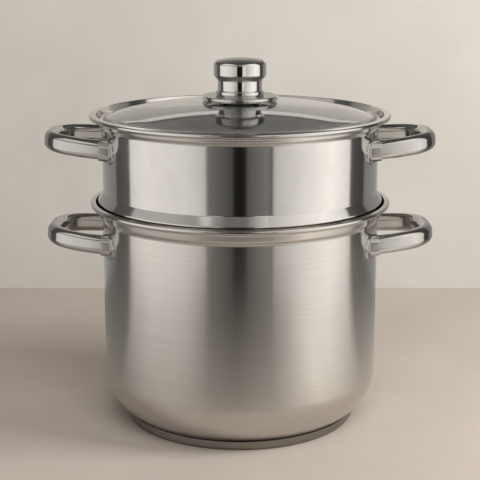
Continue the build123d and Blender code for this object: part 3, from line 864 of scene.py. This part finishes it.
# levels: how bright each place is, from the sheet's start at 0 to its end at 1
cardTop = 1.3
full = {"bottom": 0, "top": cardTop}
front = {"start": (-0.31, -0.668), "end": (0.303, -0.668)}
back = {"start": (0.7, 0.395), "end": (-0.7, 0.395)}
cards = {
    "leftBox": {
        **full, "start": (-0.726, 0.052), "end": (-0.31, -0.668),
        "levels": [(0, 0.95), (0.3, 1.1), (0.75, 0.95), (1, 0.72)],
    },
    "rightBox": {
        **full, "start": (0.303, -0.668), "end": (0.72, 0.05),
        "levels": [(0, 0.68), (0.25, 0.95), (0.65, 1.4), (1, 1.05)],
    },
    "frontCardLow": {
        **front, "bottom": 0, "top": 0.21,
        "levels": [
            (0, 0.22), (0.4, 0.09), (0.43, 0.01), (0.58, 0.01),
            (0.61, 0.13), (0.93, 0.26), (0.95, 0.1), (1, 0.1),
        ],
    },
    "frontCardMiddle": {
        **front, "bottom": 0.21, "top": 0.42,
        "levels": [(0, 0.7), (0.24, 0.72), (0.27, 0.012), (0.7, 0.012), (0.73, 1.05), (1, 0.95)],
    },
    "frontCardHigh": {
        **front, "bottom": 0.42, "top": cardTop,
        "levels": [(0, 0.45), (0.3, 0.2), (0.6, 0.2), (1, 0.9)],
    },
    "leftCard": {
        **full, "start": (-0.648, 0.291), "end": (-0.726, 0.052),
        "levels": [(0, 0.09), (1, 0.13)],
    },
    "leftHighCard": {
        "start": (-0.716, 0.05), "end": (-0.305, -0.662), "bottom": 0.45, "top": 0.72,
        "levels": [(0, 0.6), (0.55, 0.55), (1, 0.2)],
    },
    "leftBackCard": {
        **full, "start": (-0.2, 0.385), "end": (-0.648, 0.291),
        "levels": [(0, 0.5), (0.3, 0.34), (1, 0.26)],
    },
    "leftBackHighCard": {
        "start": (-0.21, 0.375), "end": (-0.64, 0.285), "bottom": 0.44, "top": cardTop,
        "levels": [(0, 0.14), (1, 0.1)],
    },
    "rightBackHighCard": {
        "start": (0.64, 0.285), "end": (0.21, 0.375), "bottom": 0.44, "top": cardTop,
        "levels": [(0, 0.1), (1, 0.14)],
    },
    "rightBackCard": {
        **full, "start": (0.643, 0.29), "end": (0.2, 0.385),
        "levels": [(0, 0.26), (0.7, 0.34), (1, 0.5)],
    },
    "rightCard": {
        **full, "start": (0.72, 0.05), "end": (0.643, 0.29),
        "levels": [(0, 0.1), (1, 0.06)],
    },
    "backCard": {
        **back, "bottom": 0.47, "top": cardTop,
        "levels": [
            (0, 0.12), (0.22, 0.18), (0.36, 0.12), (0.43, 0.09), (0.55, 0.08),
            (0.63, 0.25), (0.7, 0.28), (0.78, 0.1), (1, 0.1),
        ],
    },
    "backEdgeDark": {**back, "bottom": 0.45, "top": 0.47, "levels": [(0, 0.03), (1, 0.03)]},
    "backEdgeBright": {**back, "bottom": 0.425, "top": 0.45, "levels": [(0, 1.3), (1, 1.3)]},
}
ceiling = {"left": -0.75, "right": 0.75, "front": -0.7, "back": 0.41, "height": cardTop, "level": 0.08}


def makeCards():
    made = []
    for name, card in cards.items():
        glow = glowMaterial(name, greyStops(card["levels"]))
        made.append(standingSheet(name, card["start"], card["end"], card["bottom"], card["top"], glow))
    return made


def makeCeilingCard():
    left, right, near, far, height = (ceiling[key] for key in ("left", "right", "front", "back", "height"))
    corners = [(left, far, height), (right, far, height), (right, near, height), (left, near, height)]
    glow = glowMaterial("ceilingCard", greyStops([(0, ceiling["level"]), (1, ceiling["level"])]))
    return sheetObject("ceilingCard", corners, glow)


# a fan on the floor, also for reflections alone; its directions are in degrees, from the front to the right
fan = {
    "inside": 0.14, "outside": 0.66, "height": 0.002, "halfTurn": 150, "steps": 60,
    "fade": 0.3, "warmthNear": 2.5,
}
# how bright each direction is, far from the pot and near it
fanFar = [
    (-96, 0.12), (-88, 0.66), (-68, 0.9), (-40, 0.66), (-21, 0.08), (-4, 0.005), (18, 0.08), (31, 0.3),
    (47, 0.95), (66, 1.3), (87, 1), (97, 0.1),
]
fanNear = [(-86, 0.3), (-51, 0.52), (-4, 0.4), (22, 0.55), (51, 1.15), (84, 0.55)]


def fanStops(levels, warmth=1):
    whole = 2 * fan["halfTurn"]
    return greyStops([((degrees + fan["halfTurn"]) / whole, level) for degrees, level in levels], warmth)


def fanMaterial():
    material = glowMaterial("floorFan", fanStops(fanFar))
    tree = material.node_tree
    split, glow = tree.nodes["Separate XYZ"], tree.nodes["Emission"]
    far = glow.inputs["Color"].links[0].from_socket
    near = rampNode(tree, -300, -300, split.outputs["X"], fanStops(fanNear, fan["warmthNear"]))
    mix = addNode(tree, "ShaderNodeMix", -150, -100, data_type="RGBA")
    tree.links.new(split.outputs["Y"], mix.inputs["Factor"])
    tree.links.new(near, mix.inputs[6])
    tree.links.new(far, mix.inputs[7])
    tree.links.new(mix.outputs[2], glow.inputs["Color"])
    clear = addNode(tree, "ShaderNodeBsdfTransparent", 0, -250)
    fade = addNode(tree, "ShaderNodeMapRange", 0, 200, interpolation_type="SMOOTHSTEP")
    fade.inputs["From Max"].default_value = fan["fade"]
    tree.links.new(split.outputs["Y"], fade.inputs["Value"])
    mixShaders(tree, fade.outputs[0], clear, glow)
    return material


def makeFloorFan():
    steps, inside, outside, height = (fan[key] for key in ("steps", "inside", "outside", "height"))
    points, faces, faceCorners = [], [], []
    for step in range(steps + 1):
        angle = math.radians(fan["halfTurn"] * (2 * step / steps - 1))
        across, along = math.sin(angle), -math.cos(angle)
        points += [(reach * across, reach * along, height) for reach in (inside, outside)]
    for step in range(steps):
        faces.append((2 * step, 2 * step + 1, 2 * step + 3, 2 * step + 2))
        faceCorners += [((step + along) / steps, out) for along, out in ((0, 0), (0, 1), (1, 1), (1, 0))]
    return stageObject("floorFan", points, faces, faceCorners, fanMaterial())


for made in (*makeCards(), makeCeilingCard(), makeFloorFan()):
    made.visible_camera = False
    made.visible_transmission = False
    made.visible_diffuse = False
    made.visible_shadow = False

lamps = {
    "frontLamp": {"place": (0.3, -1.6, 1.9), "aim": (0, 0.2, 0.2), "size": 1.6, "watts": 38},
    "keyLamp": {"place": (1.25, -0.35, 1.0), "aim": (0, 0, 0.1), "size": 0.6, "watts": 24},
}
for name, lamp in lamps.items():
    light = bpy.data.lights.new(name, "AREA")
    light.size = lamp["size"]
    light.energy = lamp["watts"]
    made = bpy.data.objects.new(name, light)
    made.location = lamp["place"]
    way = Vector(lamp["aim"]) - Vector(lamp["place"])
    made.rotation_euler = way.to_track_quat("-Z", "Y").to_euler()
    made.visible_glossy = False
    made.visible_transmission = False
    scene.collection.objects.link(made)

world = bpy.data.worlds.new("room")
scene.world = world
world.use_nodes = True
world.node_tree.nodes["Background"].inputs["Color"].default_value = (*room["sky"], 1)
world.node_tree.nodes["Background"].inputs["Strength"].default_value = 1
print("studio built")
